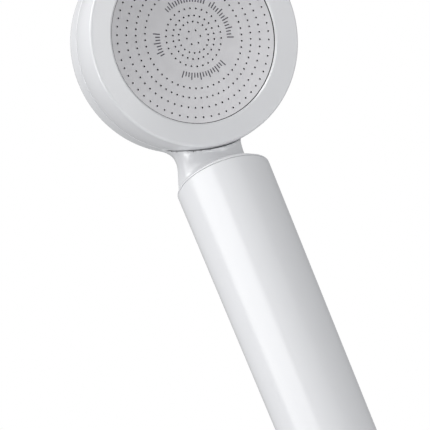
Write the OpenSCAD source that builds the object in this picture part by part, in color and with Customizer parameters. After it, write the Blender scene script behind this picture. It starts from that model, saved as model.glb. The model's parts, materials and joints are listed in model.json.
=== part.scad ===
// Handheld shower head with a filter handle.
// +Z runs up the handle, the spray side faces -Y, and the model is symmetric about x = 0.
// The origin is the centre of the end face of the hose thread. Sizes are in millimetres.

/* [Handle] */
// Diameter of the handle at its seam with the neck
handle_top_d = 33.66; // [33.2:0.02:34]
// Diameter of the handle at its bottom end
handle_bottom_d = 29.9; // [29.4:0.1:31]
// Height of the handle's bottom end above the end of the hose thread
handle_bottom_z = 11; // [10.5:0.5:11.5]
// Height of the seam between the handle and the neck
seam_z = 151; // [150:1:160]
// Bore of the handle round the filter
handle_bore_d = 26; // [25.8:0.1:26.2]

/* [Head] */
// Outer diameter of the head at its parting line
head_d = 75.86; // [75.6:0.02:76.2]
// Lean of the spray face from the handle's axis, in degrees
face_tilt = 24.53; // [24:0.1:25]
// Height above the seam at which the spray axis crosses the handle's axis
axis_cross_h = 55.57; // [55.4:0.01:56]
// Distance of the spray plate in front of that crossing
face_reach = 25.04; // [24.8:0.01:25.2]
// Depth of the parting line between bezel and shell behind the spray plate
parting_depth = 13.8; // [13.6:0.1:14]
// Depth of the rim of the shell's back behind the spray plate
back_depth = 26.3; // [26:0.1:26.6]
// Bulge of the shell's back beyond its rim
back_dome = 1.6; // [1:0.1:2]

/* [Spray plate] */
// Diameter of one spray hole
nozzle_d = 0.5; // [0.4:0.05:0.6]
// Thickness of the steel plate
plate_t = 0.8; // [0.6:0.1:0.8]
// Diameter of the bezel's window over the plate
window_d = 59.7; // [59.5:0.1:60]

/* [Hose connection] */
// Major diameter of the G 1/2 thread
thread_major_d = 20.955; // [20.9:0.005:21]
// Bore of the connector round the check valve
inlet_bore_d = 15.2; // [15.2:0.05:15.4]

/* [Filter] */
// Diameter of the filter sleeve
sleeve_d = 22.8; // [22:0.1:22.8]
// Diameter of the perforated core
core_d = 10; // [9:0.5:11]

/* [Hidden] */
$fn = 96;

// Clearances: between threads that turn, and between faces that meet at rest
thread_gap = 0.2;
face_gap = 0.05;
over = 1;

// Handle
handle_top_r = handle_top_d / 2;
handle_bottom_r = handle_bottom_d / 2;
handle_bore_r = handle_bore_d / 2;
handle_edge_r = 1.2;
seam_chamfer = 0.25;
socket_r = 14.3;
socket_z = seam_z - 12;
floor_z = handle_bottom_z + 14;

// Hose connector
thread_major_r = thread_major_d / 2;
thread_chamfer = 0.9;
collar_r = 12.6;
collar_h = 1.4;
shank_r = 10.4;
barb_r = 11;
barb_h = 2;
barb_z = [handle_bottom_z + 2, handle_bottom_z + 6];
inlet_bore_r = inlet_bore_d / 2;
inlet_stop_z = floor_z - 3;
inlet_stop_r = 6.2;
shank_ring_r = 0.7;
shank_ring_z = floor_z - 2.4;

// Strainer, flow regulator and check valve, stacked in the connector's bore
insert_r = inlet_bore_r - 0.1;
strainer_z = 1;
strainer_h = 1.4;
mesh_t = 0.5;
mesh_pitch = 1.5;
mesh_hole = 0.9;
mesh_r = 5.8;
regulator_z = strainer_z + strainer_h;
regulator_h = 4;
regulator_hub_r = 2.6;
regulator_ring_r = 4.3;
regulator_wire_r = 1.2;
valve_z = regulator_z + regulator_h;
valve_seat_z = valve_z + 3;
valve_seat_r = 4.6;
valve_inner_r = 6.2;
valve_ring_r = 0.65;
valve_ring_z = valve_z + 1.5;
guide_t = 2;
guide_z = inlet_stop_z - guide_t;
guide_hub_r = 2.6;
guide_spoke = 1.4;
stem_r = 1.4;
stem_gap = 0.06;
stem_top_z = guide_z + guide_t + 0.2;
poppet_r = 5.4;
poppet_t = 1.2;
poppet_nose_r = 4;
poppet_neck_r = 3.3;
poppet_nose_h = 0.8;
seal_r = 5.2;
seal_t = 0.5;
seal_z = valve_seat_z + face_gap;
disc_z = seal_z + seal_t;
spring_r = 2.6;
spring_wire_r = 0.3;
spring_turns = 4;
spring_z = disc_z + poppet_t + spring_wire_r;
spring_top_z = guide_z - spring_wire_r;
spring_steps = 20;
spring_sides = 8;

// Filter cartridge
sleeve_r = sleeve_d / 2;
core_r = core_d / 2;
core_wall = 1.1;
cap_rim = 1;
cap_r = sleeve_r + cap_rim;
cap_rib_r = handle_bore_r - 0.1;
cap_t = 2;
cap_h = 4;
cartridge_z = floor_z + 2;
cartridge_top_z = seam_z - 22;
sleeve_z = cartridge_z + cap_t;
sleeve_h = cartridge_top_z - cap_t - sleeve_z;
core_rows = 9;
core_hole_r = 1.4;
spigot_r = 6.5;
spigot_top_z = seam_z - 9.6;
spigot_ring_z = seam_z - 13;
spigot_ring_r = 0.6;

// Boss under the neck, which screws into the handle
nose_r = handle_bore_r - 0.3;
nose_z = cartridge_top_z + 0.5;
boss_r = socket_r - thread_gap;
boss_z = socket_z + 0.4;
boss_socket_r = spigot_r + 0.2;
boss_socket_top_z = seam_z - 9;
neck_ring_r = 0.9;
neck_ring_z = seam_z - 15;
neck_ring_centre_r = handle_bore_r - face_gap - neck_ring_r;
boss_core_outer_r = 9.9;
boss_core_inner_r = 8.3;
boss_core_top_z = seam_z - 5;

// Face frame: its +Z is the spray direction, its +Y climbs the plate
face_y = -face_reach * cos(face_tilt);
face_z = seam_z + axis_cross_h - face_reach * sin(face_tilt);

// Bezel
head_r = head_d / 2;
bezel_front_r = head_r + 0.22;
bezel_bulge = 0.62;
bezel_front_h = 2;
bezel_edge_r = 1;
bezel_lip_h = 0.9;
bezel_lip_slope = 1.15;
bezel_thread_r = 35.4;
bezel_bore_r = bezel_thread_r + thread_gap;
window_r = window_d / 2;

// Shell of the head
shell_front = parting_depth + 0.1;
shell_edge_r = 6;
shell_taper = 0.23;
shell_wall = 2.3;
collar_inner_r = 33;
ledge_r = 31.6;
ledge_h = 2;
back_flat_r = head_r - shell_taper - shell_edge_r;
cavity_r = head_r - shell_wall;
bezel_clear = 0.35;

// Spray plate, gasket and diffuser
plate_r = 35.2;
gasket_t = 1.6;
gasket_outer_r = 35;
gasket_inner_r = 31.4;
collar_front = plate_t + gasket_t + face_gap;
diffuser_r = collar_inner_r - 0.1;
diffuser_front = 4;
diffuser_t = 2;
diffuser_hole_r = 1.5;
diffuser_rows = [[7, 8], [20, 22], [27, 30]];
post_r = 1.2;
post_ring_r = 13.2;
post_count = 6;

// Water passage: it leans back from the boss, and then runs straight up the neck into the head
passage_r = 2.8;
passage_low_r = 2.5;
passage_lean = 21;
passage_bend_h = 14.5;
passage_top_h = 21.8;

// Neck: [height above the seam, half width, front y, back y, y of the widest point]
neck_flange_h = 0.5;
NECK = [[0, handle_top_r, -handle_top_r, handle_top_r, 0],
        [neck_flange_h, handle_top_r, -handle_top_r, handle_top_r, 0],
        [0.9, 16.3, -16.2, 16.7, 1.2],
        [1.6, 15.6, -15.6, 16.65, 4],
        [2.4, 14.9, -13.5, 16.6, 5.8],
        [3.4, 14.2, -10, 16.4, 7],
        [4.6, 13.45, -6.4, 16, 7.2],
        [6.6, 13.05, -4.8, 15.2, 6.4],
        [9.4, 12.5, -5.2, 14.2, 4.8],
        [12, 12.1, -6.4, 13.7, 3.4],
        [14.2, 12.1, -8, 13.7, 2.8],
        [16.4, 12.3, -8, 14, 2.8],
        [18.6, 13, -8, 14.4, 3],
        [21, 14.4, -6, 13.35, 4]];
neck_sides = 72;
neck_steps = 2;

// Spray holes: [ring radius, number of holes]
NOZZLES = [[2.55, 6], [5.45, 18], [7.58, 24], [10.11, 30],
           [17.69, 50], [21.04, 60], [24.42, 60], [27.76, 60]];

// Points of an arc round [cx, cy], from angle a0 to a1
function arc(cx, cy, r, a0, a1, steps = 6) =
    [for (i = [0:steps]) let (a = a0 + (a1 - a0) * i / steps) [cx + r * cos(a), cy + r * sin(a)]];

// Smooth curve through rows of numbers: the point at fraction u between rows i and i + 1
function spline(rows, i, u) =
    let (p0 = rows[max(i - 1, 0)], p1 = rows[i],
         p2 = rows[i + 1], p3 = rows[min(i + 2, len(rows) - 1)])
    0.5 * (2 * p1 + (p2 - p0) * u + (2 * p0 - 5 * p1 + 4 * p2 - p3) * u * u
           + (3 * p1 - p0 - 3 * p2 + p3) * u * u * u);

// Closed tube through rings of points, each ring with the same number of sides
module loft(rings) {
    sides = len(rings[0]);
    last = len(rings) - 1;
    polyhedron(
        points = [for (ring = rings) for (p = ring) p],
        faces = concat(
            [[for (i = [0:sides - 1]) i]],
            [for (k = [0:last - 1]) for (i = [0:sides - 1])
                let (a = k * sides + i, b = k * sides + (i + 1) % sides)
                each [[a, a + sides, b], [b, a + sides, b + sides]]],
            [[for (i = [sides - 1:-1:0]) last * sides + i]]));
}

// Places what follows in the face frame
module face_frame() {
    translate([0, face_y, face_z]) rotate([90 + face_tilt, 0, 0]) children();
}

// Ring of rectangular section, from height z upwards
module ring(outer, inner, z, h) {
    translate([0, 0, z]) difference() {
        cylinder(r = outer, h = h);
        translate([0, 0, -over]) cylinder(r = inner, h = h + 2 * over);
    }
}

// Rubber ring of round section
module oring(radius, z, wire_r) {
    translate([0, 0, z]) rotate_extrude() translate([radius, 0]) circle(r = wire_r, $fn = 32);
}

// Spokes of width w and height h across a ring, from height z upwards
module spokes(radius, w, z, h, count) {
    for (i = [0:count - 1])
        rotate([0, 0, i * 180 / count]) translate([-radius, -w / 2, z]) cube([2 * radius, w, h]);
}

// Shank of the hose connector, with its grip rings
module shank(z0, z1) {
    translate([0, 0, z0]) cylinder(r = shank_r, h = z1 - z0);
    for (z = barb_z) translate([0, 0, z]) cylinder(r = barb_r, h = barb_h);
}

module handle_tube() {
    color("white") difference() {
        rotate_extrude() polygon(concat(
            [[0, handle_bottom_z]],
            arc(handle_bottom_r - handle_edge_r, handle_bottom_z + handle_edge_r,
                handle_edge_r, -90, 0),
            [[handle_top_r, seam_z - seam_chamfer], [handle_top_r - seam_chamfer, seam_z],
             [0, seam_z]]));
        translate([0, 0, floor_z]) cylinder(r = handle_bore_r, h = seam_z);
        translate([0, 0, socket_z]) cylinder(r = socket_r, h = seam_z);
        shank(handle_bottom_z - over, floor_z + over);
    }
}

module hose_connector() {
    color("silver") difference() {
        union() {
            rotate_extrude() polygon([
                [0, 0], [thread_major_r - thread_chamfer, 0], [thread_major_r, thread_chamfer],
                [thread_major_r, handle_bottom_z - collar_h], [collar_r, handle_bottom_z - collar_h],
                [collar_r, handle_bottom_z], [0, handle_bottom_z]]);
            shank(handle_bottom_z, floor_z);
        }
        translate([0, 0, -over]) cylinder(r = inlet_bore_r, h = inlet_stop_z + over);
        translate([0, 0, -over]) cylinder(r = inlet_stop_r, h = floor_z + 2 * over);
        ring(shank_r + over, shank_r - 2 * shank_ring_r, shank_ring_z - shank_ring_r,
             2 * shank_ring_r);
    }
}

module connector_oring() {
    color("dimgray") oring(shank_r - shank_ring_r, shank_ring_z, shank_ring_r);
}

module inlet_strainer() {
    color("gainsboro") union() {
        ring(insert_r, mesh_r, strainer_z, strainer_h);
        translate([0, 0, strainer_z]) linear_extrude(mesh_t) difference() {
            circle(r = mesh_r + 0.2);
            for (x = [-3:3]) for (y = [-3:3])
                if (norm([x, y]) < 3.5)
                    translate([x * mesh_pitch, y * mesh_pitch]) square(mesh_hole, center = true);
        }
    }
}

module flow_regulator() {
    color("lightgreen") difference() {
        translate([0, 0, regulator_z]) cylinder(r = insert_r, h = regulator_h);
        ring(regulator_ring_r + regulator_wire_r + 0.4, regulator_hub_r,
             regulator_z + 1, regulator_h);
        for (i = [0:11]) rotate([0, 0, i * 30]) translate([regulator_ring_r, 0, regulator_z - over])
            cylinder(r = 0.8, h = regulator_h);
    }
}

module regulator_oring() {
    color("dimgray")
        oring(regulator_ring_r, regulator_z + 1 + regulator_wire_r, regulator_wire_r);
}

module check_valve_body() {
    color("whitesmoke") union() {
        difference() {
            translate([0, 0, valve_z]) cylinder(r = insert_r, h = inlet_stop_z - valve_z);
            translate([0, 0, valve_seat_z]) cylinder(r = valve_inner_r, h = inlet_stop_z);
            translate([0, 0, valve_z - over]) cylinder(r = valve_seat_r, h = inlet_stop_z);
            ring(insert_r + over, inlet_bore_r - 2 * valve_ring_r, valve_ring_z - valve_ring_r,
                 2 * valve_ring_r);
        }
        difference() {
            union() {
                translate([0, 0, guide_z]) cylinder(r = guide_hub_r, h = guide_t);
                intersection() {
                    spokes(insert_r, guide_spoke, guide_z, guide_t, 2);
                    translate([0, 0, guide_z]) cylinder(r = valve_inner_r + 0.3, h = guide_t);
                }
            }
            translate([0, 0, guide_z - over]) cylinder(r = stem_r + stem_gap, h = guide_t + 2 * over);
        }
    }
}

module valve_oring() {
    color("dimgray") oring(inlet_bore_r - valve_ring_r, valve_ring_z, valve_ring_r);
}

module check_valve_spring() {
    turns = spring_turns * spring_steps;
    rise = (spring_top_z - spring_z) / turns;
    color("lightgray") loft([for (k = [0:turns])
        let (a = 360 * k / spring_steps, z = spring_z + rise * k)
        [for (i = [0:spring_sides - 1])
            let (b = -360 * i / spring_sides, r = spring_r + spring_wire_r * cos(b))
            [r * cos(a), r * sin(a), z + spring_wire_r * sin(b)]]]);
}

module check_valve_poppet() {
    color("whitesmoke") union() {
        translate([0, 0, valve_seat_z - poppet_nose_h]) cylinder(r = poppet_nose_r, h = poppet_nose_h);
        translate([0, 0, valve_seat_z - poppet_nose_h])
            cylinder(r = poppet_neck_r, h = disc_z - valve_seat_z + poppet_nose_h);
        translate([0, 0, disc_z]) cylinder(r = poppet_r, h = poppet_t);
        translate([0, 0, disc_z]) cylinder(r = stem_r, h = stem_top_z - disc_z);
    }
}

module poppet_seal() {
    color("dimgray") ring(seal_r, poppet_neck_r, seal_z, seal_t);
}

module filter_bottom_cap() {
    color("whitesmoke") union() {
        difference() {
            translate([0, 0, cartridge_z]) cylinder(r = cap_r, h = cap_h);
            translate([0, 0, sleeve_z]) cylinder(r = sleeve_r, h = cap_h);
        }
        for (i = [0:2]) rotate([0, 0, i * 120])
            translate([cap_r - 0.3, -0.6, cartridge_z]) cube([cap_rib_r - cap_r + 0.2, 1.2, cap_h]);
    }
}

module filter_core() {
    row = sleeve_h / core_rows;
    color("gainsboro") difference() {
        ring(core_r, core_r - core_wall, sleeve_z, sleeve_h);
        for (k = [0:core_rows - 1]) for (i = [0:1])
            translate([0, 0, sleeve_z + (k + 0.5) * row])
                rotate([90, 0, i * 90 + (k % 2) * 45]) cylinder(r = core_hole_r, h = 4 * core_r,
                                                               center = true);
    }
}

module filter_sleeve() {
    color("oldlace") ring(sleeve_r, core_r, sleeve_z, sleeve_h);
}

module filter_top_cap() {
    color("whitesmoke") difference() {
        union() {
            translate([0, 0, cartridge_top_z - cap_h]) cylinder(r = cap_r, h = cap_h);
            translate([0, 0, cartridge_top_z]) cylinder(r = spigot_r, h = spigot_top_z - cartridge_top_z);
        }
        translate([0, 0, cartridge_top_z - cap_h - over]) cylinder(r = sleeve_r,
                                                                  h = cap_h - cap_t + over);
        translate([0, 0, cartridge_top_z - cap_h]) cylinder(r = core_r - core_wall, h = 4 * cap_h);
        ring(spigot_r + over, boss_socket_r - face_gap - 2 * spigot_ring_r,
             spigot_ring_z - spigot_ring_r, 2 * spigot_ring_r);
    }
}

module filter_oring() {
    color("dimgray") oring(boss_socket_r - face_gap - spigot_ring_r, spigot_ring_z, spigot_ring_r);
}

module neck_oring() {
    color("dimgray") oring(neck_ring_centre_r, neck_ring_z, neck_ring_r);
}

// One level of the neck: two half ellipses that meet at its widest point
function neck_ring(row) =
    [for (i = [0:neck_sides - 1])
        let (a = 360 * i / neck_sides, depth = sin(a) < 0 ? row[4] - row[2] : row[3] - row[4])
        [row[1] * cos(a), row[4] + depth * sin(a), seam_z + row[0]]];

// Outer form of the neck, from the seam up into the head
module neck_form() {
    last = len(NECK) - 1;
    loft([for (i = [0:last - 1]) for (k = [0:neck_steps - 1]) neck_ring(spline(NECK, i, k / neck_steps)),
          neck_ring(NECK[last])]);
}

// Solid form of the rear shell and its threaded collar, in the face frame
module shell_form() {
    rotate_extrude() polygon(concat(
        [[0, -collar_front], [bezel_thread_r, -collar_front], [bezel_thread_r, -shell_front],
         [head_r, -shell_front]],
        arc(back_flat_r, shell_edge_r - back_depth, shell_edge_r, 0, -90, 8),
        [for (i = [3:-1:0]) [back_flat_r * i / 4, -back_depth - back_dome * (1 - pow(i / 4, 2))]]));
}

// Water space inside the shell, in the face frame
module shell_space() {
    inner_edge_r = shell_edge_r - shell_wall;
    rotate_extrude() polygon(concat(
        [[0, over], [collar_inner_r, over], [collar_inner_r, -diffuser_front - diffuser_t],
         [ledge_r, -diffuser_front - diffuser_t], [ledge_r, -diffuser_front - diffuser_t - ledge_h],
         [collar_inner_r, -diffuser_front - diffuser_t - ledge_h],
         [collar_inner_r, -shell_front], [cavity_r, -shell_front - shell_wall]],
        arc(cavity_r - inner_edge_r, shell_edge_r - back_depth, inner_edge_r, 0, -90, 5),
        [[0, shell_wall - back_depth]]));
}

// Boss that carries the neck's thread, with the socket for the filter's spigot
module boss() {
    translate([0, 0, nose_z]) cylinder(r = nose_r, h = seam_z - nose_z);
    translate([0, 0, boss_z]) cylinder(r = boss_r, h = seam_z + over - boss_z);
}

// Space that the water flows through from the boss to the head
module passage() {
    start_z = boss_socket_top_z - over;
    rise = seam_z + passage_bend_h - start_z;
    translate([0, 0, start_z]) rotate([-passage_lean, 0, 0])
        cylinder(r = passage_low_r, h = rise / cos(passage_lean));
    translate([0, rise * tan(passage_lean), start_z + rise - passage_r / 2])
        cylinder(r = passage_r, h = passage_top_h - passage_bend_h + passage_r / 2);
}

module body_shell() {
    color("white") difference() {
        union() {
            face_frame() shell_form();
            difference() {
                neck_form();
                face_frame() translate([0, 0, -shell_front])
                    cylinder(r = bezel_front_r + bezel_bulge + bezel_clear, h = 2 * parting_depth);
            }
            boss();
        }
        face_frame() shell_space();
        translate([0, 0, nose_z - over]) cylinder(r = boss_socket_r, h = boss_socket_top_z - nose_z + over);
        passage();
        ring(boss_core_outer_r, boss_core_inner_r, nose_z - over, boss_core_top_z - nose_z + over);
        ring(nose_r + over, neck_ring_centre_r - neck_ring_r - face_gap,
             neck_ring_z - neck_ring_r - face_gap, 2 * (neck_ring_r + face_gap));
    }
}

module diffuser_disc() {
    color("whitesmoke") face_frame() union() {
        translate([0, 0, -diffuser_front - diffuser_t]) linear_extrude(diffuser_t) difference() {
            circle(r = diffuser_r);
            for (row = diffuser_rows) for (i = [0:row[1] - 1])
                rotate(360 * i / row[1]) translate([row[0], 0]) circle(r = diffuser_hole_r, $fn = 24);
        }
        for (i = [0:post_count - 1]) rotate([0, 0, 360 * i / post_count])
            translate([post_ring_r, 0, -diffuser_front - diffuser_t / 2])
                cylinder(r = post_r, h = diffuser_front + diffuser_t / 2 - plate_t - face_gap);
    }
}

module plate_gasket() {
    color("dimgray") face_frame() ring(gasket_outer_r, gasket_inner_r, -plate_t - gasket_t, gasket_t);
}

module spray_plate() {
    color("lightgray") face_frame() translate([0, 0, -plate_t]) linear_extrude(plate_t) difference() {
        circle(r = plate_r);
        for (row = NOZZLES) for (i = [0:row[1] - 1])
            rotate(360 * i / row[1]) translate([row[0], 0]) circle(d = nozzle_d, $fn = 16);
    }
}

module bezel_ring() {
    side = 8;
    color("white") face_frame() rotate_extrude() polygon(concat(
        [[window_r, face_gap], [window_r + bezel_lip_slope, bezel_lip_h]],
        arc(bezel_front_r - bezel_edge_r, bezel_front_h - bezel_edge_r, bezel_edge_r, 90, 0),
        [for (i = [1:side]) let (s = i / side)
            [bezel_front_r + (head_r - bezel_front_r) * s + bezel_bulge * 4 * s * (1 - s),
             (bezel_front_h - bezel_edge_r) * (1 - s) - (parting_depth - 0.1) * s]],
        [[bezel_bore_r, 0.1 - parting_depth], [bezel_bore_r, face_gap]]));
}

handle_tube();
hose_connector();
connector_oring();
inlet_strainer();
flow_regulator();
regulator_oring();
check_valve_body();
valve_oring();
check_valve_spring();
check_valve_poppet();
poppet_seal();
filter_bottom_cap();
filter_core();
filter_sleeve();
filter_top_cap();
filter_oring();
neck_oring();
body_shell();
diffuser_disc();
plate_gasket();
spray_plate();
bezel_ring();
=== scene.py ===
"""Looks of the handheld shower head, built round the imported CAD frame.

Sizes are in millimetres, which piece() turns into metres. The floor, camera and lights are in metres.
The face frame has its origin in the middle of the spray face, and its Z points the way the water goes.
"""

import json
import math

import bmesh
import bpy
import numpy as np
from mathutils import Matrix, Vector, geometry


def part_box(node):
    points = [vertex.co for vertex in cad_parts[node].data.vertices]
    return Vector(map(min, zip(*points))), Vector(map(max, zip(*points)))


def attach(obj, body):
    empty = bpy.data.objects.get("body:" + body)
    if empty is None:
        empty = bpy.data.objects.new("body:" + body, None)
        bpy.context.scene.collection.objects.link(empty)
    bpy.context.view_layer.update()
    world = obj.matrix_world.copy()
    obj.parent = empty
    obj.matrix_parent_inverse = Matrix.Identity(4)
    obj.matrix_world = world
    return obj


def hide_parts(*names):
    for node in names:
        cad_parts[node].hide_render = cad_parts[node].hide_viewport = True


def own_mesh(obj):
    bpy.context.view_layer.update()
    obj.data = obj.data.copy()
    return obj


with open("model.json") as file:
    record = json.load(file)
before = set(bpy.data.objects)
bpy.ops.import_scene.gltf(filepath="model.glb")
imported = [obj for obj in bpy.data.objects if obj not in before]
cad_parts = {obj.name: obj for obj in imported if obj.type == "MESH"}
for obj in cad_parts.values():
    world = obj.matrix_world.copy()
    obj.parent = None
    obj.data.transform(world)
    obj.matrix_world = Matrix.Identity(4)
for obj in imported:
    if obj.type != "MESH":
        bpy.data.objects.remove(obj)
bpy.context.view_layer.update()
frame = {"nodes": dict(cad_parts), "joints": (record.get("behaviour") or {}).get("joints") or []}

MM = 0.001
TAU = 2 * math.pi

# ---------------------------------------------------------------- sizes taken from the frame


def box_mm(node):
    """Lowest and highest corner of a CAD node, in millimetres."""
    low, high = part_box(node)
    return np.array(low) / MM, np.array(high) / MM


def joint(name):
    return next(j for j in frame["joints"] if j["name"] == name)


HANDLE_LOW, HANDLE_HIGH = box_mm("handle_tube")
SEAM_R = HANDLE_HIGH[0]
SEAM_Z = HANDLE_HIGH[2]
HANDLE_Z = HANDLE_LOW[2]

# Handle and the thread in its top
HANDLE_END_R = 14.95
HANDLE_BORE_R = 13.0
SOCKET_R = 14.3
SOCKET_Z = SEAM_Z - 12
FLOOR_Z = HANDLE_Z + 14
SCREW_PITCH = 2.0
SCREW_DEPTH = 0.75

# Barbs of the hose connector, which the handle is moulded round. BARBS holds how high each one starts
# above the handle's lower end
SHANK_R = 10.4
BARB_R = 11.0
BARB_H = 2
BARBS = (2, 6)

# Spray face
FACE_OUT = np.array(joint("bezel_turn")["axis"])
FACE_OUT = FACE_OUT / np.linalg.norm(FACE_OUT)
FACE_UP = np.array([0.0, FACE_OUT[2], -FACE_OUT[1]])
FACE_CENTRE = np.array(joint("bezel_turn")["pos_m"]) / MM

# Head: depths are behind the spray face
HEAD_R = box_mm("body_shell")[1][0]
PLATE_R = box_mm("spray_plate")[1][0]
PARTING = 13.8
SHELL_FRONT = PARTING + 0.1
SHELL_WALL = 2.3
BACK_DEPTH = 26.3
BACK_DOME = 1.6
SHELL_EDGE_R = 6.0
SHELL_TAPER = 0.23
SHELL_TAPER_RUN = 6.4
BACK_FLAT_R = HEAD_R - SHELL_TAPER - SHELL_EDGE_R

# Bezel: its side bulges between the front and the parting line
BEZEL_FRONT_R = HEAD_R + 0.22
BEZEL_BULGE = 0.62
BEZEL_SIDE_START = -1.0
BEZEL_SIDE_RUN = PARTING + 0.9
BEZEL_GAP = 0.15
BEZEL_BORE_R = 35.6
WINDOW_R = 29.85

# Neck levels: height above the seam, half width, front y, back y, y of the widest point
NECK = np.array([
    [0.0, 16.83, -16.83, 16.83, 0.0],
    [0.5, 16.83, -16.83, 16.83, 0.0],
    [0.9, 16.3, -16.2, 16.7, 1.2],
    [1.6, 15.6, -15.6, 16.65, 4.0],
    [2.4, 14.9, -13.5, 16.6, 5.8],
    [3.4, 14.2, -10, 16.4, 7],
    [4.6, 13.45, -6.4, 16, 7.2],
    [6.6, 13.05, -4.8, 15.2, 6.4],
    [9.4, 12.5, -5.2, 14.2, 4.8],
    [12.0, 12.1, -6.4, 13.7, 3.4],
    [14.2, 12.1, -8.0, 13.7, 2.8],
    [16.4, 12.3, -8.0, 14.0, 2.8],
    [18.6, 13.0, -8.0, 14.4, 3.0],
    [21.0, 14.4, -6.0, 13.35, 4.0],
])

# ---------------------------------------------------------------- mesh helpers


def piece(name, verts, faces, body, material, replaces=(), sharp=math.radians(38), weighted=True):
    """Makes a mesh object from points in millimetres, and hangs it on a CAD body."""
    mesh = bpy.data.meshes.new(name)
    mesh.from_pydata([tuple(v) for v in np.asarray(verts, float) * MM], [], faces)
    editable = bmesh.new()
    editable.from_mesh(mesh)
    bmesh.ops.recalc_face_normals(editable, faces=editable.faces)
    editable.to_mesh(mesh)
    editable.free()
    mesh.shade_smooth()
    mesh.set_sharp_from_angle(angle=sharp)
    obj = bpy.data.objects.new(name, mesh)
    bpy.context.scene.collection.objects.link(obj)
    mesh.materials.append(material)
    if weighted:
        obj.modifiers.new("even_normals", "WEIGHTED_NORMAL").keep_sharp = True
    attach(obj, body)
    if replaces:
        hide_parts(*replaces)
    return obj


def rounded(corners, steps=5):
    """Outline with each corner (r, z, fillet radius) turned into an arc."""
    out = []
    count = len(corners)
    for i, (r, z, fillet) in enumerate(corners):
        p = np.array([r, z], float)
        a = np.array(corners[i - 1][:2], float) - p
        b = np.array(corners[(i + 1) % count][:2], float) - p
        la, lb = np.linalg.norm(a), np.linalg.norm(b)
        a, b = a / la, b / lb
        turn = math.acos(max(-1.0, min(1.0, float(a @ b))))
        if fillet <= 0 or turn > math.radians(178):
            out.append(p)
            continue
        cut = min(fillet / math.tan(turn / 2), 0.49 * la, 0.49 * lb)
        fillet = cut * math.tan(turn / 2)
        centre = p + (a + b) / np.linalg.norm(a + b) * fillet / math.sin(turn / 2)
        start, end = p + a * cut - centre, p + b * cut - centre
        sweep = math.atan2(start[0] * end[1] - start[1] * end[0], float(start @ end))
        for k in range(steps + 1):
            t = sweep * k / steps
            turned = [start[0] * math.cos(t) - start[1] * math.sin(t),
                      start[0] * math.sin(t) + start[1] * math.cos(t)]
            out.append(centre + turned)
    return [tuple(p) for p in out]


def thread(z0, z1, r, depth, pitch, per_turn=10, taper=None):
    """Points along a threaded wall: (r, z, depth of the groove there)."""
    taper = pitch if taper is None else taper
    steps = max(2, int(abs(z1 - z0) / pitch * per_turn))
    out = []
    for k in range(steps + 1):
        z = z0 + (z1 - z0) * k / steps
        ends = min(abs(z - z0), abs(z1 - z)) / taper
        out.append((r, z, depth * max(0.0, min(1.0, ends))))
    return out


def thread_wave(turns):
    """Height of a rounded thread, 0 at the crest and 1 at the root, over each turn."""
    u = turns - np.floor(turns)
    return np.clip(0.5 - 0.75 * np.cos(TAU * u), 0.0, 1.0)


def lathe(outline, sides=192, pitch=1.0):
    """Revolves a closed outline of (r, z) or (r, z, groove) points round Z.

    Grooves wind as a right-hand thread.
    """
    angles = np.arange(sides) / sides * TAU
    cos, sin = np.cos(angles), np.sin(angles)
    verts, rows = [], []
    for point in outline:
        r, z = point[0], point[1]
        if r < 1e-6:
            rows.append([len(verts)])
            verts.append((0.0, 0.0, z))
            continue
        radius = np.full(sides, float(r))
        if len(point) == 3 and point[2]:
            radius = radius - point[2] * thread_wave(z / pitch - angles / TAU)
        rows.append(list(range(len(verts), len(verts) + sides)))
        verts.extend(zip(radius * cos, radius * sin, np.full(sides, float(z))))
    faces = []
    for i, row in enumerate(rows):
        after = rows[(i + 1) % len(rows)]
        if len(row) == 1 and len(after) == 1:
            continue
        for k in range(sides):
            n = (k + 1) % sides
            quad = [row[k % len(row)], row[n % len(row)], after[n % len(after)], after[k % len(after)]]
            faces.append(tuple(dict.fromkeys(quad)))
    return np.array(verts), faces


def join(*parts):
    """One list of points and faces from several."""
    verts, faces, count = [], [], 0
    for v, f in parts:
        verts.append(np.asarray(v, float))
        faces += [tuple(i + count for i in face) for face in f]
        count += len(v)
    return np.concatenate(verts), faces


def to_face(points):
    """Points of the face frame in the object's own frame."""
    p = np.asarray(points, float)
    return FACE_CENTRE + p[:, :1] * [1, 0, 0] + p[:, 1:2] * FACE_UP + p[:, 2:3] * FACE_OUT


def torus(radius, wire, z, sides=128, wire_sides=20):
    """Ring of round section about Z."""
    ring = [(radius + wire * math.cos(TAU * k / wire_sides), z + wire * math.sin(TAU * k / wire_sides))
            for k in range(wire_sides)]
    return lathe(ring, sides)


# ---------------------------------------------------------------- materials


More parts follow.
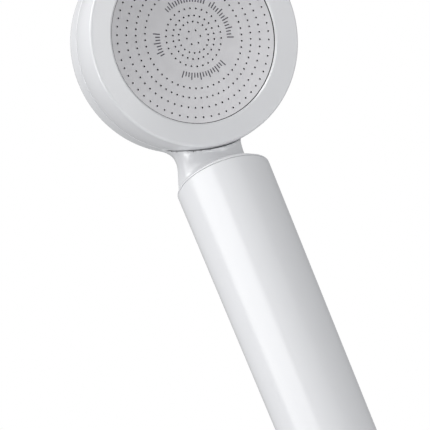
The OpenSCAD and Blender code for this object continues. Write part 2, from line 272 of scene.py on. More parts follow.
def material(name, colour, roughness, grain, bump, metallic=0.0, gloss=0.5, ior=1.5,
             spread=0.03, sheen=0.0, stretch=(1, 1, 1)):
    """Procedural finish from two sizes of noise.

    The broad one varies the colour. The fine one varies the roughness and raises the surface by bump mm.
    """
    made = bpy.data.materials.new(name)
    made.use_nodes = True
    tree = made.node_tree
    shader = tree.nodes["Principled BSDF"]
    shader.inputs["Metallic"].default_value = metallic
    shader.inputs["Specular IOR Level"].default_value = gloss
    shader.inputs["IOR"].default_value = ior
    shader.inputs["Sheen Weight"].default_value = sheen
    where = tree.nodes.new("ShaderNodeTexCoord")
    scaled = tree.nodes.new("ShaderNodeMapping")
    scaled.inputs["Scale"].default_value = stretch
    tree.links.new(where.outputs["Object"], scaled.inputs["Vector"])

    def noise(scale, detail):
        node = tree.nodes.new("ShaderNodeTexNoise")
        node.inputs["Scale"].default_value = scale
        node.inputs["Detail"].default_value = detail
        tree.links.new(scaled.outputs["Vector"], node.inputs["Vector"])
        return node.outputs["Fac"]

    broad = noise(grain / 12, 3)
    fine = noise(grain, 5)
    ramp = tree.nodes.new("ShaderNodeValToRGB")
    ramp.color_ramp.elements[0].position = 0.3
    ramp.color_ramp.elements[1].position = 0.7
    ramp.color_ramp.elements[0].color = (*[c * (1 - spread) for c in colour], 1)
    ramp.color_ramp.elements[1].color = (*[min(1, c * (1 + spread)) for c in colour], 1)
    tree.links.new(broad, ramp.inputs["Fac"])
    tree.links.new(ramp.outputs["Color"], shader.inputs["Base Color"])
    rough = tree.nodes.new("ShaderNodeMapRange")
    rough.inputs["To Min"].default_value = roughness * 0.85
    rough.inputs["To Max"].default_value = roughness * 1.15
    tree.links.new(fine, rough.inputs["Value"])
    tree.links.new(rough.outputs["Result"], shader.inputs["Roughness"])
    raised = tree.nodes.new("ShaderNodeBump")
    raised.inputs["Strength"].default_value = 1.0
    raised.inputs["Distance"].default_value = bump * MM
    tree.links.new(fine, raised.inputs["Height"])
    tree.links.new(raised.outputs["Normal"], shader.inputs["Normal"])
    return made


ABS = material("white_abs_gloss", (0.83, 0.836, 0.852), 0.22, 900, 0.002, gloss=0.8, ior=1.7, spread=0.006)
STEEL = material("satin_steel", (0.66, 0.655, 0.67), 0.3, 2600, 0.006, metallic=1.0, spread=0.03)
# Near-black finish for the spray holes' walls and the groove round the plate's rim: painted shade, which
# stands in for the dark inside them
HOLE_SHADE = material("painted_hole_shade", (0.012, 0.01, 0.013), 0.8, 2500, 0.004, gloss=0.2, spread=0.2)
MARK = material("etched_mark", (0.075, 0.07, 0.09), 0.6, 3000, 0.002, gloss=0.3)
CHROME = material("chrome_plate", (0.8, 0.8, 0.82), 0.07, 700, 0.0015, metallic=1.0, spread=0.01)
RUBBER = material("seal_rubber", (0.025, 0.025, 0.028), 0.55, 1500, 0.01, spread=0.2)
SILICONE = material("clear_silicone", (0.72, 0.72, 0.7), 0.4, 1200, 0.006)
POM = material("natural_pom", (0.78, 0.78, 0.75), 0.42, 1300, 0.006)
GREEN = material("regulator_green", (0.1, 0.33, 0.16), 0.4, 1300, 0.006, spread=0.06)
FIBRE = material("pp_fibre", (0.86, 0.84, 0.78), 0.85, 5000, 0.05, spread=0.05, sheen=0.3,
                 stretch=(1, 1, 0.35))
WIRE = material("spring_wire", (0.6, 0.6, 0.62), 0.25, 2200, 0.003, metallic=1.0, spread=0.05)

# Finishes of the CAD solids that are carried over as they are
CAD_FINISH = {
    "connector_oring": RUBBER,
    "flow_regulator": GREEN,
    "regulator_oring": RUBBER,
    "check_valve_body": POM,
    "valve_oring": RUBBER,
    "check_valve_poppet": POM,
    "poppet_seal": RUBBER,
    "filter_core": POM,
    "filter_oring": RUBBER,
    "diffuser_disc": POM,
    "plate_gasket": SILICONE,
}
for node, finish in CAD_FINISH.items():
    mesh = frame["nodes"][node].data
    mesh.materials.clear()
    mesh.materials.append(finish)

# ---------------------------------------------------------------- handle


def splice(outline, after, points):
    """Puts more points into an outline after the one that lies at (r, z)."""
    at = min(range(len(outline)), key=lambda i: math.dist(outline[i][:2], after))
    return outline[:at + 1] + points[1:-1] + outline[at + 1:]


def barb_corners(fillet):
    """Corners of the barbs from the lowest up, as the connector has them and the handle fits round them."""
    corners = []
    for low in BARBS:
        z = HANDLE_Z + low
        top = z + BARB_H
        corners += [(SHANK_R, z, 0), (BARB_R, z, fillet), (BARB_R, top, fillet), (SHANK_R, top, 0)]
    return corners


def make_handle():
    """Tapered tube, threaded at the top and moulded round the connector's barbs at the bottom."""
    start, end = SEAM_Z - 1, SOCKET_Z + 1
    outside = [(SHANK_R, HANDLE_Z, 0.3), (HANDLE_END_R, HANDLE_Z, 1.2), (SEAM_R, SEAM_Z, 0.3)]
    socket = [(SOCKET_R + 0.1, SEAM_Z, 0.3), (SOCKET_R, start, 0), (SOCKET_R, end, 0),
              (SOCKET_R, SOCKET_Z, 0)]
    bore = [(HANDLE_BORE_R, SOCKET_Z, 0.3), (HANDLE_BORE_R, FLOOR_Z, 0.4), (SHANK_R, FLOOR_Z, 0)]
    outline = rounded(outside + socket + bore + barb_corners(0)[::-1])
    screw = thread(start, end, SOCKET_R, -SCREW_DEPTH, SCREW_PITCH)
    outline = splice(outline, (SOCKET_R, start), screw)
    verts, faces = lathe(outline, 256, SCREW_PITCH)
    return piece("handle_body", verts, faces, "handle", ABS, ["handle_tube"])


def make_connector():
    """Chromed insert: hose thread, collar, barbs in the handle, and a groove for its seal."""
    crest, pitch, depth = 10.4775, 1.814, 1.16
    bore, stop, groove, collar = 7.6, 6.2, 9.0, 12.6
    collar_z = HANDLE_Z - 1.4
    groove_low, groove_high, stop_z = FLOOR_Z - 3.1, FLOOR_Z - 1.7, FLOOR_Z - 3
    thread_low, thread_high = 1.0, collar_z - 0.6
    inlet = [(bore, 0, 0.25), (crest - 1.0, 0, 0.15), (crest, thread_low, 0), (crest, thread_high, 0)]
    waist = [(crest, collar_z, 0), (collar, collar_z, 0.3), (collar, HANDLE_Z, 0.1), (SHANK_R, HANDLE_Z, 0)]
    seal = [(SHANK_R, groove_low, 0.1), (groove, groove_low, 0.1), (groove, groove_high, 0.1),
            (SHANK_R, groove_high, 0.1)]
    end = [(SHANK_R, FLOOR_Z, 0.2), (stop, FLOOR_Z, 0.2), (stop, stop_z, 0), (bore, stop_z, 0)]
    outline = rounded(inlet + waist + barb_corners(0.2) + seal + end)
    screw = thread(thread_low, thread_high, crest, depth, pitch, 14, 0.7)
    verts, faces = lathe(splice(outline, (crest, thread_low), screw), 192, pitch)
    return piece("hose_nipple", verts, faces, "handle", CHROME, ["hose_connector"])


def tube(path, radius, sides=8):
    """Round wire along a path of points."""
    path = np.asarray(path, float)
    along = np.gradient(path, axis=0)
    along /= np.linalg.norm(along, axis=1, keepdims=True)
    up = np.array([0.0, 0.0, 1.0]) - along * along[:, 2:3]
    up /= np.linalg.norm(up, axis=1, keepdims=True)
    side = np.cross(along, up)
    verts = []
    for k in range(sides):
        a = TAU * k / sides
        verts.append(path + radius * (math.cos(a) * up + math.sin(a) * side))
    verts = np.stack(verts, 1).reshape(-1, 3)
    faces = [tuple(range(sides)), tuple(range(len(verts) - 1, len(verts) - sides - 1, -1))]
    for i in range(len(path) - 1):
        for k in range(sides):
            n = (k + 1) % sides
            faces.append((i * sides + k, (i + 1) * sides + k, (i + 1) * sides + n, i * sides + n))
    return verts, faces


def make_strainer():
    """Rim and a plain weave of two sets of wires."""
    rim_r, mesh_r, pitch, wire = 7.5, 5.9, 0.62, 0.13
    inner_r, height = 5.8, 1.4
    low = box_mm("inlet_strainer")[0][2]
    high = low + height
    rim = [(inner_r, low, 0.15), (rim_r, low, 0.2), (rim_r, high, 0.2), (inner_r, high, 0.15)]
    parts = [lathe(rounded(rim), 96)]
    count = int(mesh_r / pitch)
    for way in (0, 1):
        for i in range(-count, count + 1):
            at = i * pitch
            half = math.sqrt(mesh_r ** 2 - at ** 2)
            s = np.linspace(-half, half, max(8, int(half / pitch * 8)))
            z = low + 0.3 + wire * np.cos(math.pi * (s / pitch + i + way))
            line = np.stack([s, np.full_like(s, at), z], 1)
            if way:
                line = line[:, [1, 0, 2]]
            parts.append(tube(line, wire * 0.95, 6))
    verts, faces = join(*parts)
    return piece("strainer_weave", verts, faces, "handle", POM, ["inlet_strainer"])


def make_spring():
    """Coil with closed ends; in the real valve it flattens as the poppet opens."""
    low, high = box_mm("check_valve_spring")
    wire, turns = 0.3, 5.5
    radius = high[0] - wire
    s = np.linspace(0, 1, 220)
    rise = np.clip((s * turns - 0.75) / (turns - 1.5), 0, 1)
    z = low[2] + wire + (high[2] - low[2] - 2 * wire) * (0.04 * s + 0.96 * rise)
    path = np.stack([radius * np.cos(TAU * turns * s), radius * np.sin(TAU * turns * s), z], 1)
    verts, faces = tube(path, wire * 0.98, 12)
    spring = piece("valve_coil", verts, faces, "handle", WIRE, ["check_valve_spring"])
    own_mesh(spring)
    return spring


# ---------------------------------------------------------------- filter cartridge

CAP_R = 12.4
CAP_BORE_R = 11.4
CAP_T = 2

def make_sleeve():
    """Wound fibre: two crossing sets of strands, one over the other."""
    low, high = box_mm("filter_sleeve")
    outer, inner = high[0], 5.02
    rows, sides, strands, relief = 330, 240, 9, 0.5
    z = np.linspace(low[2] + 0.05, high[2] - 0.05, rows)
    angle = np.arange(sides) / sides * TAU
    zz, aa = np.meshgrid(z, angle, indexing="ij")
    lead = 26.0
    one = np.abs(np.sin((aa * strands + TAU * zz / lead * strands) / 2))
    two = np.abs(np.sin((aa * strands - TAU * zz / lead * strands) / 2))
    over = 0.5 + 0.5 * np.sin(aa * strands) * np.sin(TAU * zz / lead * strands)
    height = np.maximum(one * (0.75 + 0.25 * over), two * (1.0 - 0.25 * over))
    fine = 0.05 * np.sin(aa * strands * 7 + TAU * zz / lead * strands * 7)
    radius = outer - 0.02 - relief * (1 - height) - 0.05 + fine
    radius = np.minimum(radius, outer - 0.02)
    outside = np.stack([radius * np.cos(aa), radius * np.sin(aa), zz], -1).reshape(-1, 3)
    ends = [np.full(sides, low[2] + 0.05), np.full(sides, high[2] - 0.05)]
    bore = [np.stack([inner * np.cos(angle), inner * np.sin(angle), end], 1) for end in ends]
    verts = np.concatenate([outside, *bore])
    faces = []
    first, last = rows * sides, rows * sides + sides
    for i in range(rows - 1):
        for k in range(sides):
            n = (k + 1) % sides
            faces.append((i * sides + k, i * sides + n, (i + 1) * sides + n, (i + 1) * sides + k))
    for k in range(sides):
        n = (k + 1) % sides
        top = (rows - 1) * sides
        faces.append((first + k, first + n, n, k))
        faces.append((top + k, top + n, last + n, last + k))
        faces.append((last + k, last + n, first + n, first + k))
    return piece("fibre_winding", verts, faces, "filter", FIBRE, ["filter_sleeve"],
                 math.radians(80))


def make_rib(turn, low, high):
    """Centring rib on the cartridge's foot, a bar of six sides."""
    inner, outer, tip, half, tip_half = 12.1, 12.6, 12.88, 0.6, 0.3
    section = [(inner, -half), (outer, -half), (tip, -tip_half),
               (tip, tip_half), (outer, half), (inner, half)]
    corners = np.array([(r, w, z) for z in (low, high) for r, w in section])
    x = corners[:, 0] * math.cos(turn) - corners[:, 1] * math.sin(turn)
    y = corners[:, 0] * math.sin(turn) + corners[:, 1] * math.cos(turn)
    sides = [(k, (k + 1) % 6, (k + 1) % 6 + 6, k + 6) for k in range(6)]
    return np.stack([x, y, corners[:, 2]], 1), sides + [tuple(range(5, -1, -1)), tuple(range(6, 12))]


def make_cartridge_foot():
    """Cup on the lower end of the cartridge, with three ribs that keep it in the middle of the handle."""
    low, high = [corner[2] for corner in box_mm("filter_bottom_cap")]
    base = low + CAP_T
    cup = lathe(rounded([(0, low, 0), (CAP_R, low, 0.5), (CAP_R, high, 0.3), (CAP_BORE_R, high, 0.2),
                         (CAP_BORE_R, base, 0), (0, base, 0)]), 160)
    ribs = [make_rib(i * TAU / 3, low + 0.3, high - 0.3) for i in range(3)]
    verts, faces = join(cup, *ribs)
    return piece("cartridge_foot", verts, faces, "filter", POM, ["filter_bottom_cap"])


def make_cartridge_head():
    """Cap on the upper end, whose spigot goes into the neck and has a groove for its seal."""
    low, high = [corner[2] for corner in box_mm("filter_top_cap")]
    plate_z, bore, spigot, groove = low + 4, 3.9, 6.5, 5.45
    ring_low, ring_high = SEAM_Z - 13 - 0.6, SEAM_Z - 13 + 0.6
    cap = [(bore, low + CAP_T, 0), (CAP_BORE_R, low + CAP_T, 0), (CAP_BORE_R, low, 0.2), (CAP_R, low, 0.3),
           (CAP_R, plate_z, 0.6), (spigot, plate_z, 0.6)]
    seal = [(spigot, ring_low, 0.1), (groove, ring_low, 0.1), (groove, ring_high, 0.1),
            (spigot, ring_high, 0.1)]
    end = [(spigot, high, 0.5), (bore, high, 0.2)]
    verts, faces = lathe(rounded(cap + seal + end), 160)
    return piece("cartridge_head", verts, faces, "filter", POM, ["filter_top_cap"])


def make_neck_ring():
    """Seal on the neck's boss."""
    verts, faces = torus(12.05, 0.9, SEAM_Z - 15)
    return piece("neck_seal_ring", verts, faces, "neck_seal", RUBBER, ["neck_oring"])


# ---------------------------------------------------------------- head


def neck_levels():
    """The neck's table with a smooth curve run through its rows, and its foot a little inside the flange."""
    rows = []
    table = NECK.copy()
    table[:2, 1:] = [SEAM_R - 0.38, 0.38 - SEAM_R, SEAM_R - 0.25, 0.4]
    last = len(NECK) - 1
    for i in range(last):
        p0, p1, p2, p3 = table[max(i - 1, 0)], table[i], table[i + 1], table[min(i + 2, last)]
        for u in np.linspace(0, 1, 12, endpoint=False):
            rows.append(0.5 * (2 * p1 + (p2 - p0) * u + (2 * p0 - 5 * p1 + 4 * p2 - p3) * u ** 2
                               + (3 * p1 - p0 - 3 * p2 + p3) * u ** 3))
    return np.array(rows + [NECK[last]])


LEVELS = neck_levels()


def neck_field(p):
    """About the distance outside the neck, two half ellipses at each level."""
    h = p[:, 2] - SEAM_Z
    half, front, back, mid = [np.interp(h, LEVELS[:, 0], LEVELS[:, k]) for k in (1, 2, 3, 4)]
    off = p[:, 1] - mid
    deep = np.where(off < 0, mid - front, back - mid)
    u, v = p[:, 0] / half, off / deep
    k = np.sqrt(u * u + v * v) + 1e-9
    slope = np.sqrt((u / half) ** 2 + (v / deep) ** 2) / k
    return np.maximum((k - 1) / np.maximum(slope, 1e-6), h - LEVELS[-1, 0])


def shell_field(rho, t, inset=0.0):
    """Distance outside the rear shell, a rounded dish, at radius rho and depth t behind the spray face."""
    radius = HEAD_R - SHELL_TAPER * np.clip((t - SHELL_FRONT) / SHELL_TAPER_RUN, 0, 1) - inset
    dome = BACK_DOME * np.clip(1 - (rho / BACK_FLAT_R) ** 2, 0, 1) ** 2
    edge = SHELL_EDGE_R - inset
    a = rho - radius + edge
    b = t - BACK_DEPTH - dome + inset + edge
    return np.hypot(np.maximum(a, 0), np.maximum(b, 0)) + np.minimum(np.maximum(a, b), 0) - edge


def bezel_side(t):
    """Radius of the bezel's bulged side at depth t behind the spray face."""
    s = np.clip((t - BEZEL_SIDE_START) / BEZEL_SIDE_RUN, 0, 1)
    return BEZEL_FRONT_R + (HEAD_R - BEZEL_FRONT_R) * s + BEZEL_BULGE * 4 * s * (1 - s)


def bezel_sweep(t):
    """Radius that the bezel needs at depth t, at rest and as it is screwed off forwards."""
    middle = BEZEL_SIDE_RUN / 2 + BEZEL_SIDE_START
    return bezel_side(np.maximum(t, middle))


def soft_max(a, b, k):
    """Larger of two fields, with a blend of about k where they are close."""
    h = np.clip(0.5 + 0.5 * (a - b) / k, 0, 1)
    return b * (1 - h) + a * h + k * h * (1 - h)


def passage_field(p):
    """Distance outside the water passage, which leans back and then runs straight up the neck."""
    low_radius, radius = 2.5, 2.8
    bottom, bend, top = SEAM_Z - 10, SEAM_Z + 14.5, SEAM_Z + 21.8
    lean = math.radians(21)
    way = np.array([0.0, math.sin(lean), math.cos(lean)])
    from_start = p - np.array([0.0, 0.0, bottom])
    along = from_start @ way
    leaning = np.linalg.norm(from_start - along[:, None] * way, axis=1) - low_radius
    leaning = np.maximum(leaning, along - (bend - bottom) / math.cos(lean))
    upright = np.hypot(p[:, 0], p[:, 1] - (bend - bottom) * math.tan(lean)) - radius
    upright = np.maximum(upright, np.maximum(p[:, 2] - top, bend - radius / 2 - p[:, 2]))
    return np.minimum(leaning, upright)


def head_field(p):
    """Distance outside the moulding: shell and neck blended, less the room for bezel, cavity and water."""
    blend, cavity_front, foot_z = 2.4, SHELL_FRONT + 2.2, SEAM_Z + 0.3
    local = p - FACE_CENTRE
    t = -(local @ FACE_OUT)
    rho = np.hypot(local[:, 0], local @ FACE_UP)
    body = -soft_max(-shell_field(rho, t), -neck_field(p), blend)
    bezel_room = np.maximum(rho - bezel_sweep(t) - BEZEL_GAP, t - SHELL_FRONT - 0.4)
    body = soft_max(body, -bezel_room, 0.3)
    cavity = np.maximum(shell_field(rho, t, SHELL_WALL), cavity_front - t)
    body = np.maximum(body, -cavity)
    return np.maximum(np.maximum(body, -passage_field(p)), foot_z - p[:, 2])


def slope_of(field, p, step=0.02):
    """Gradient of a field, from points a step to either side."""
    return np.stack([(field(p + step * e) - field(p - step * e)) / (2 * step) for e in np.eye(3)], 1)


def surface(field, low, high, step):
    """Mesh of the surface where field is 0: a point in each grid cell that it crosses, moved onto it."""
    axes = [np.arange(a, b + step, step) for a, b in zip(low, high)]
    grid = np.stack(np.meshgrid(*axes, indexing="ij"), -1)
    shape = grid.shape[:3]
    inside = np.concatenate([field(slab.reshape(-1, 3)) for slab in grid]).reshape(shape) < 0
    corner = [slice(0, -1), slice(1, None)]
    eight = [inside[corner[i], corner[j], corner[k]] for i in (0, 1) for j in (0, 1) for k in (0, 1)]
    total = np.sum(eight, axis=0)
    crossed = (total > 0) & (total < 8)
    number = np.full(crossed.shape, -1)
    number[crossed] = np.arange(crossed.sum())
    points = grid[:-1, :-1, :-1][crossed] + step / 2
    start = points.copy()
    for _ in range(6):
        slope = slope_of(field, points)
        points = points - (field(points) / np.maximum((slope ** 2).sum(1), 0.05))[:, None] * slope
        points = start + np.clip(points - start, -0.7 * step, 0.7 * step)
    faces = []
    for axis in range(3):
        flat = np.moveaxis(inside, axis, 0)
        cells = np.moveaxis(number, axis, 0)
        lower, upper = flat[:-1, 1:-1, 1:-1], flat[1:, 1:-1, 1:-1]
        quad = np.stack([cells[:, :-1, :-1], cells[:, 1:, :-1], cells[:, 1:, 1:], cells[:, :-1, 1:]], -1)
        for mask, turned in ((lower & ~upper, False), (~lower & upper, True)):
            found = quad[mask]
            if turned != (axis == 1):
                found = found[:, ::-1]
            faces.append(found)
    normals = slope_of(field, points)
    normals /= np.linalg.norm(normals, axis=1, keepdims=True) + 1e-12
    return points, np.concatenate(faces).tolist(), normals


def make_shell():
    """Rear shell and neck in one moulding, with the field's own normals."""
    low, high, step = (-39.3, -28.3, SEAM_Z - 1.2), (39.3, 18.3, 243.0), 0.6
    points, faces, normals = surface(head_field, low, high, step)
    shell = piece("head_moulding", points, faces, "head", ABS, ["body_shell"],
                  math.radians(180), False)
    shell.data.normals_split_custom_set_from_vertices(normals.tolist())
    return shell


def make_parting_band():
    """True edge of the shell at the parting line, a hundredth proud of the moulding behind it."""
    inner, front, back = 36.2, SHELL_FRONT, SHELL_FRONT + 2.6
    proud = HEAD_R + 0.008
    behind = HEAD_R - SHELL_TAPER * (back - front) / SHELL_TAPER_RUN
    corners = [(inner, -back, 0), (inner, -front, 0), (proud, -front, 0.22), (behind + 0.012, -back, 0)]
    verts, faces = lathe(rounded(corners), 256)
    return piece("parting_band", to_face(verts), faces, "head", ABS)


def make_neck_flange():
    """Thin flange at the foot of the neck, a hair above the handle at the seam."""
    inner, low, high = 13.6, SEAM_Z + 0.1, SEAM_Z + 0.68
    slope_r, slope_z = SEAM_R - 1.2, high - 0.3
    corners = [(inner, low, 0), (SEAM_R, low, 0.12), (SEAM_R, high, 0.3), (slope_r, slope_z, 0),
               (inner, slope_z, 0)]
    verts, faces = lathe(rounded(corners), 256)
    return piece("neck_flange", verts, faces, "head", ABS)


def make_boss():
    """Threaded boss of the neck, with the socket for the cartridge's spigot."""
    low, high, start, end = SEAM_Z - 21.5, SEAM_Z + 0.3, SEAM_Z - 11.6, SEAM_Z - 1.2
    nose, groove, male, socket, core, bore = 12.7, 11.1, 14.1, 6.7, 4.6, 8.3
    wall, lead = 9.9, 0.6
    pocket_z, socket_z = SEAM_Z - 5, SEAM_Z - 9
    ring_low, ring_high = SEAM_Z - 15.95, SEAM_Z - 14.05
    inside = [(socket, low, 0.5), (bore, low, 0.2), (bore, pocket_z, 0), (wall, pocket_z, 0),
              (wall, low, 0.2)]
    seal = [(nose, low, 0.6), (nose, ring_low, 0.1), (groove, ring_low, 0), (groove, ring_high, 0),
            (nose, ring_high, 0.1), (nose, start, 0.3)]
    screwed = [(male - lead, start, 0), (male, start + lead, 0), (male, end, 0), (male, high, 0)]
    top = [(core, high, 0), (core, socket_z, 0), (socket, socket_z, 0)]
    screw = thread(start + lead, end, male, SCREW_DEPTH, SCREW_PITCH)
    outline = splice(rounded(inside + seal + screwed + top), (male, start + lead), screw)
    verts, faces = lathe(outline, 192, SCREW_PITCH)
    return piece("neck_boss", verts, faces, "head", ABS)


def make_collar():
    """Threaded collar that the bezel screws onto, with the ledge for the diffuser."""
    male, inner, ledge, outer = 35.4, 33.0, 31.6, 36.6
    front, thread_end, back = 2.45, 12.4, 16.4
    ledge_front, ledge_back = 6, 8
    thread_start = front + 0.6
    screwed = [(inner, -front, 0.15), (male - 0.5, -front, 0.1), (male, -thread_start, 0),
               (male, -thread_end, 0)]
    behind = [(male, -SHELL_FRONT - 0.05, 0), (outer, -SHELL_FRONT - 0.4, 0), (outer, -back, 0),
              (inner, -back, 0)]
    step = [(inner, -ledge_back, 0), (ledge, -ledge_back, 0.2), (ledge, -ledge_front, 0.2),
            (inner, -ledge_front, 0)]
    screw = thread(-thread_start, -thread_end, male, SCREW_DEPTH, SCREW_PITCH)
    outline = splice(rounded(screwed + behind + step), (male, -thread_start), screw)
    verts, faces = lathe(outline, 256, SCREW_PITCH)
    return piece("head_collar", to_face(verts), faces, "head", ABS)


# ---------------------------------------------------------------- spray plate and bezel

# Spray holes: ring radius and number of holes
NOZZLES = [
    (2.55, 6),
    (5.45, 18),
    (7.58, 24),
    (10.11, 30),
    (17.69, 50),
    (21.04, 60),
    (24.42, 60),
    (27.76, 60),
]
HOLE_R = 0.33
HOLE_BACK_R = 0.25
HOLE_SIDES = 14
PLATE_T = 0.8


def circle(x, y, radius, sides):
    """Corners of a round hole or edge."""
    return [(x + radius * math.cos(TAU * k / sides), y + radius * math.sin(TAU * k / sides))
            for k in range(sides)]


def punched_disc(radius, sides, centres):
    """Flat disc with a spray hole at each centre: its points, its triangles and its outlines' edges."""
    loops = [circle(0, 0, radius, sides)] + [circle(x, y, HOLE_R, HOLE_SIDES) for x, y in centres]
    flat, edges = [], []
    for loop in loops:
        first = len(flat)
        flat += [Vector(p) for p in loop]
        edges += [(first + k, first + (k + 1) % len(loop)) for k in range(len(loop))]
    points, _, triangles, *_ = geometry.delaunay_2d_cdt(flat, edges, [], 0, 1e-6)
    points = np.array([tuple(v) for v in points])
    triangles = np.array(triangles)
    middle = points[triangles].mean(1)
    near = np.min([np.hypot(middle[:, 0] - x, middle[:, 1] - y) for x, y in centres], axis=0)
    return points, triangles[near > HOLE_R * 0.98].tolist(), edges


def make_plate():
    """Steel disc with its holes cut right through, and a step down to the rim that the bezel holds."""
    step_r, drop, ring = WINDOW_R - 0.16, 0.2, 192
    centres = [(r * math.cos(TAU * i / n), r * math.sin(TAU * i / n)) for r, n in NOZZLES for i in range(n)]
    flat, tris, edges = punched_disc(step_r, ring, centres)
    count = len(flat)
    front = np.column_stack([flat, np.zeros(count)])
    back = np.column_stack([flat, np.full(count, -PLATE_T)])
    for i, centre in enumerate(centres):
        hole = slice(ring + i * HOLE_SIDES, ring + (i + 1) * HOLE_SIDES)
        back[hole, :2] = centre + (back[hole, :2] - centre) * HOLE_BACK_R / HOLE_R
    rim = np.array([(x, y, z) for r, z in ((step_r + 0.02, -drop), (PLATE_R, -drop), (PLATE_R, -PLATE_T))
                    for x, y in circle(0, 0, r, ring)])
    faces = [tuple(t) for t in tris] + [tuple(i + count for i in t[::-1]) for t in tris]
    walls = [(a, b, b + count, a + count) for a, b in edges[ring:]]
    step, outer, under = 2 * count, 2 * count + ring, 2 * count + 2 * ring
    moat = []
    for k in range(ring):
        n = (k + 1) % ring
        moat.append((k, n, step + n, step + k))
        moat.append((step + k, step + n, outer + n, outer + k))
        faces.append((outer + k, outer + n, under + n, under + k))
        faces.append((under + k, under + n, count + n, count + k))
    verts = to_face(np.concatenate([front, back, rim]))
    plate = piece("plate_disc", verts, faces + walls + moat, "plate", STEEL, ["spray_plate"],
                  math.radians(30))
    # The hole walls and the rim groove take the near-black painted shade, so the holes and the groove read
    # dark
    plate.data.materials.append(HOLE_SHADE)
    for face in list(plate.data.polygons)[len(faces):]:
        face.material_index = 1
    return plate


def make_marks():
    """Groups of plain radial ticks on the plate, which stand where the real one is printed."""
    inner, height, half, spacing = 12.3, 0.012, 0.2, 4.6
    long_tick, short_tick = 2.5, 1.7
    groups = [(-10, 50), (-120, -47), (-195, -161), (60, 127)]
    parts = []
    for start, end in groups:
        for i, degrees in enumerate(np.arange(start, end + 0.1, spacing)):
            a = math.radians(degrees)
            length = long_tick if i % 3 == 0 else short_tick
            corners = [(inner, -half), (inner + length, -half), (inner + length, half), (inner, half)]
            verts = [(r * math.cos(a) - w * math.sin(a), r * math.sin(a) + w * math.cos(a), z)
                     for z in (-0.1, height) for r, w in corners]
            sides = [(k, (k + 1) % 4, (k + 1) % 4 + 4, k + 4) for k in range(4)]
            parts.append((verts, sides + [(3, 2, 1, 0), (4, 5, 6, 7)]))
    verts, faces = join(*parts)
    return piece("plate_ticks", to_face(verts), faces, "plate", MARK)


def make_bezel():
    """Wide ring with a sloping face, a bulged side, and the thread inside it."""
    female, window, lip, edge = BEZEL_BORE_R, WINDOW_R, WINDOW_R + 0.7, 0.9
    face_r, face_z, end = BEZEL_FRONT_R - edge, 2.0, 0.25 - PARTING
    edge_z = face_z - edge
    undercut = [(female, 0.05, 0), (window + 0.5, 0.05, 0), (window + 0.5, 0.3, 0.05), (window, 0.3, 0.05)]
    outline = rounded(undercut + [(lip, 0.95, 0.25), (face_r, face_z, 0)])
    quarter = np.linspace(0, math.pi / 2, 9)[1:]
    outline += [(face_r + edge * math.sin(a), edge_z + edge * math.cos(a)) for a in quarter]
    outline += [(float(bezel_side(t)), -t) for t in np.linspace(-edge_z, -end, 15)[1:-1]]
    outline += [(HEAD_R + 0.01, end + 0.16), (HEAD_R - 0.04, end + 0.05), (HEAD_R - 0.16, end)]
    outline += [(female + 0.5, end), (female, end + 0.5)]
    outline += thread(end + 0.6, -1.6, female, -SCREW_DEPTH, SCREW_PITCH)
    verts, faces = lathe(outline, 256, SCREW_PITCH)
    return piece("bezel_body", to_face(verts), faces, "bezel", ABS, ["bezel_ring"])


# ---------------------------------------------------------------- camera, light and floor

# Camera, in metres
CAMERA_AT = (-0.3785, -0.86319, -0.2693)
CAMERA_RIGHT = (0.91029, -0.22697, -0.34621)
CAMERA_FORWARD = (0.36179, 0.84264, 0.39882)
LENS_MM = 251.2
SENSOR_MM = 36

# Softboxes: name, direction from the aim to the light, distance, size, power
AIM = Vector((0, -0.01, 0.15))
LIGHTS = [
    ("key", (-0.848, -0.35, 0.399), 1.2, (1.3, 0.5), 3.0),
    ("high", (-0.594, -0.245, 0.766), 1.2, (1.3, 0.5), 6.8),
    ("front", (-0.054, -0.864, 0.5), 1.3, (1.3, 0.7), 0.8),
    ("top", (0, 0.1, 1), 1.2, (0.9, 0.9), 2.6),
    ("edge", (-0.97, -0.12, -0.15), 1.1, (0.6, 0.4), 2.8),
    ("low", (0.1, -0.80, -0.6), 1.0, (0.5, 0.4), 1.0),
    ("plate_glow", (0.62, -0.74, -0.36), 0.9, (0.35, 0.5), 0.9),
]

# Light from all round, and the floor's own glow, which only the camera sees
AMBIENT = 0.37
FLOOR_GLOW = 0.42
FLOOR_HALF = 6.0
FLOOR_AT = -0.9


def make_camera():
    """Camera at the fitted viewpoint, with no depth of field."""
    camera = bpy.data.objects.new("camera", bpy.data.cameras.new("camera"))
    bpy.context.scene.collection.objects.link(camera)
    camera.data.lens = LENS_MM
    camera.data.sensor_width = SENSOR_MM
    camera.data.dof.use_dof = False
    camera.data.clip_start = 0.05
    camera.data.clip_end = 20
    right = Vector(CAMERA_RIGHT).normalized()
    forward = Vector(CAMERA_FORWARD).normalized()
    up = right.cross(forward)
    turn = Matrix((right, up, -forward)).transposed().to_4x4()
    camera.matrix_world = Matrix.Translation(CAMERA_AT) @ turn
    bpy.context.scene.camera = camera


def softbox(name, way, distance, size, power):
    """White area light that stands off from the object along a direction and faces it."""
    light = bpy.data.lights.new(name, "AREA")
    light.shape = "RECTANGLE"
    light.size, light.size_y = size
    light.energy = power
    obj = bpy.data.objects.new(name, light)
    bpy.context.scene.collection.objects.link(obj)
    way = Vector(way).normalized()
    obj.location = AIM + way * distance
    obj.rotation_euler = way.to_track_quat("Z", "Y").to_euler()


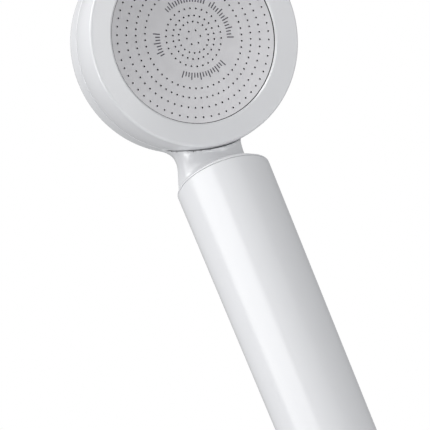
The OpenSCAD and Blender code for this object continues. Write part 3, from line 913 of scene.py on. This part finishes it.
def make_world():
    """Even soft light from all round, and white where the camera looks past the object."""
    world = bpy.data.worlds.new("studio")
    bpy.context.scene.world = world
    world.use_nodes = True
    tree = world.node_tree
    tree.nodes.clear()
    soft = tree.nodes.new("ShaderNodeBackground")
    soft.inputs["Color"].default_value = (0.97, 0.98, 1.0, 1)
    soft.inputs["Strength"].default_value = AMBIENT
    white = tree.nodes.new("ShaderNodeBackground")
    white.inputs["Color"].default_value = (1, 1, 1, 1)
    path = tree.nodes.new("ShaderNodeLightPath")
    mix = tree.nodes.new("ShaderNodeMixShader")
    out = tree.nodes.new("ShaderNodeOutputWorld")
    tree.links.new(path.outputs["Is Camera Ray"], mix.inputs[0])
    tree.links.new(soft.outputs[0], mix.inputs[1])
    tree.links.new(white.outputs[0], mix.inputs[2])
    tree.links.new(mix.outputs[0], out.inputs["Surface"])


def make_floor():
    """Plain pale floor, whose glow for the camera brings it nearer to the backdrop."""
    half, z = FLOOR_HALF, FLOOR_AT
    corners = [(-half, -half, z), (half, -half, z), (half, half, z), (-half, half, z)]
    mesh = bpy.data.meshes.new("floor")
    mesh.from_pydata(corners, [], [(0, 1, 2, 3)])
    floor = bpy.data.objects.new("floor", mesh)
    bpy.context.scene.collection.objects.link(floor)
    paint = material("floor_paint", (0.92, 0.92, 0.92), 0.7, 40, 0.05, spread=0.01)
    tree = paint.node_tree
    shader = tree.nodes["Principled BSDF"]
    path = tree.nodes.new("ShaderNodeLightPath")
    shader.inputs["Emission Color"].default_value = (1, 1, 1, 1)
    glow = tree.nodes.new("ShaderNodeMath")
    glow.operation = "MULTIPLY"
    glow.inputs[1].default_value = FLOOR_GLOW
    tree.links.new(path.outputs["Is Camera Ray"], glow.inputs[0])
    tree.links.new(glow.outputs[0], shader.inputs["Emission Strength"])
    mesh.materials.append(paint)


# ---------------------------------------------------------------- the scene

scene = bpy.context.scene
scene.view_settings.view_transform = "Standard"
scene.view_settings.look = "None"
make_camera()
make_world()
make_floor()
for light in LIGHTS:
    softbox(*light)

make_handle()
make_connector()
make_strainer()
make_spring()
make_sleeve()
make_cartridge_foot()
make_cartridge_head()
make_neck_ring()
make_shell()
make_parting_band()
make_neck_flange()
make_boss()
make_collar()
make_plate()
make_marks()
make_bezel()
